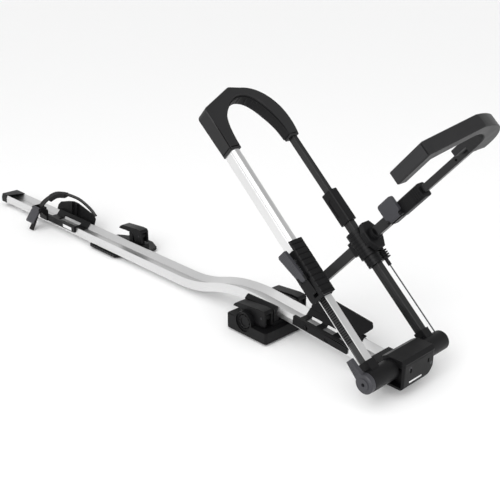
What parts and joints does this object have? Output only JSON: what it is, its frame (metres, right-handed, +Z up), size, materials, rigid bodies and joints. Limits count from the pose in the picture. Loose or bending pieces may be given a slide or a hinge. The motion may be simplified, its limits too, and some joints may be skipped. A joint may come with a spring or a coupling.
{
  "type": "roof mounted bike carrier",
  "caption": "Upright bike carrier for roof bars: bent wheel tray on lever-clamped brackets, with a folding wheel hoop, a ratchet hook and a crossing second hook.",
  "frame": {"origin": "centre of the front bracket's seat on the roof bar, at the underside of its pad", "axes": "+X to the front of the car and the hinge end, +Y to the far side, +Z up from the roof"},
  "size_m": [1.7459, 0.2651, 0.5917],
  "materials": {
    "silver_tray": "satin anodised",
    "silver_arm": "satin anodised",
    "black_plastic": "fine texture",
    "grey_plastic": "fine texture",
    "rack_plastic": "smooth",
    "black_tube": "satin",
    "rubber": "matt",
    "steel": "bright",
    "dark_steel": "blackened"
  },
  "bodies": {
    "frame": {"tray_rail": "silver_tray", "rear_end_cap": "black_plastic", "rear_bracket_plate": "black_plastic", "rear_bar_pad": "rubber", "front_bracket_base": "black_plastic", "front_bar_pad": "rubber", "tray_clamp_shoes": "black_plastic", "tension_bolts": "steel", "lever_pins": "steel", "cradle": "black_plastic", "cradle_wing": "black_plastic", "hinge_housing": "black_plastic", "housing_cover": "grey_plastic", "housing_screw": "dark_steel", "hinge_axle": "steel"},
    "hoop": {"near_barrel": "black_plastic", "far_barrel": "black_plastic", "far_end_cap": "black_plastic", "hinge_bushes": "rack_plastic", "near_rail": "silver_arm", "ratchet_rack": "rack_plastic", "far_tube": "black_tube", "far_sleeve": "black_plastic", "link_rod": "dark_steel"},
    "hook_carriage": {"near_tube": "silver_arm", "front_hook": "black_plastic", "front_hook_pad": "rubber", "far_bar": "black_tube", "ratchet_housing": "black_plastic", "ratchet_cover": "grey_plastic", "ratchet_pin": "dark_steel", "ratchet_spring": "steel"},
    "ratchet_lever_body": {"ratchet_lever": "grey_plastic", "ratchet_pawl": "dark_steel"},
    "lock_knob_body": {"lock_knob": "grey_plastic"},
    "collar_body": {"collar": "black_plastic", "collar_plate": "black_plastic", "second_tube": "black_tube", "second_tail": "black_tube", "rod_boot": "rubber", "rod_fitting": "dark_steel", "second_sleeve": "black_plastic", "second_lever_pin": "dark_steel"},
    "second_lever_body": {"second_lever": "grey_plastic"},
    "second_hook_body": {"second_bar": "black_tube", "second_hook": "black_plastic", "second_hook_pad": "rubber"},
    "holder_body": {"rear_holder": "black_plastic", "strap_buckle": "black_plastic", "buckle_pin": "dark_steel", "holder_strap": "rubber", "strap_pad": "rubber"},
    "buckle_lever_body": {"buckle_lever": "grey_plastic"},
    "rear_lever_body": {"rear_lever": "grey_plastic"},
    "front_near_lever_body": {"front_near_lever": "grey_plastic"},
    "front_far_lever_body": {"front_far_lever": "grey_plastic"},
    "front_knob_body": {"front_knob": "black_plastic", "knob_shaft": "steel"},
    "lock_cylinder_body": {"lock_cylinder": "steel"}
  },
  "joints": [
    {"name": "hoop_hinge", "type": "hinge", "parent": "frame", "child": "hoop", "pos_m": [0.38, 0, 0.062], "axis": [0, 1, 0], "range_deg": [-15, 45]},
    {"name": "hinge_lock", "type": "hinge", "parent": "hoop", "child": "lock_knob_body", "pos_m": [0.38, -0.125, 0.062], "axis": [0, 1, 0], "range_deg": [0, 90]},
    {"name": "hook_slide", "type": "slide", "parent": "hoop", "child": "hook_carriage", "axis": [-0.7396, 0, 0.673], "range_m": [-0.09, 0.11]},
    {"name": "ratchet_release", "type": "hinge", "parent": "hook_carriage", "child": "ratchet_lever_body", "pos_m": [0.20249, -0.1135, 0.22352], "axis": [0.673, 0, 0.7396], "range_deg": [-6, 0], "stiffness_Nm_per_rad": 1.2, "springref_deg": 6.88},
    {"name": "collar_slide", "type": "slide", "parent": "hoop", "child": "collar_body", "axis": [-0.7396, 0, 0.673], "range_m": [-0.06, 0.01]},
    {"name": "second_hook_slide", "type": "slide", "parent": "collar_body", "child": "second_hook_body", "axis": [0.673, 0, 0.7396], "range_m": [-0.06, 0.04]},
    {"name": "second_lever_hinge", "type": "hinge", "parent": "collar_body", "child": "second_lever_body", "pos_m": [0.28043, 0.0745, 0.32701], "axis": [0.673, 0, 0.7396], "range_deg": [0, 80]},
    {"name": "holder_slide", "type": "slide", "parent": "frame", "child": "holder_body", "axis": [1, 0, 0], "range_m": [-0.18, 0.06]},
    {"name": "buckle_release", "type": "hinge", "parent": "holder_body", "child": "buckle_lever_body", "pos_m": [-0.962, -0.056, 0.061], "axis": [1, 0, 0], "range_deg": [-50, 0]},
    {"name": "rear_lever_hinge", "type": "hinge", "parent": "frame", "child": "rear_lever_body", "pos_m": [-0.56698, 0.05, 0.055], "axis": [0, 1, 0], "range_deg": [0, 80]},
    {"name": "front_near_lever_hinge", "type": "hinge", "parent": "frame", "child": "front_near_lever_body", "pos_m": [0.03602, -0.056, 0.055], "axis": [0, 1, 0], "range_deg": [0, 80]},
    {"name": "front_far_lever_hinge", "type": "hinge", "parent": "frame", "child": "front_far_lever_body", "pos_m": [0.03602, 0.056, 0.055], "axis": [0, 1, 0], "range_deg": [0, 80]},
    {"name": "clamp_knob", "type": "hinge", "parent": "frame", "child": "front_knob_body", "pos_m": [-0.01, -0.075, 0.034], "axis": [0, 1, 0], "continuous": true},
    {"name": "key_turn", "type": "hinge", "parent": "frame", "child": "lock_cylinder_body", "pos_m": [0.406, -0.022, 0.066], "axis": [1, 0, 0], "range_deg": [0, 90]}
  ]
}
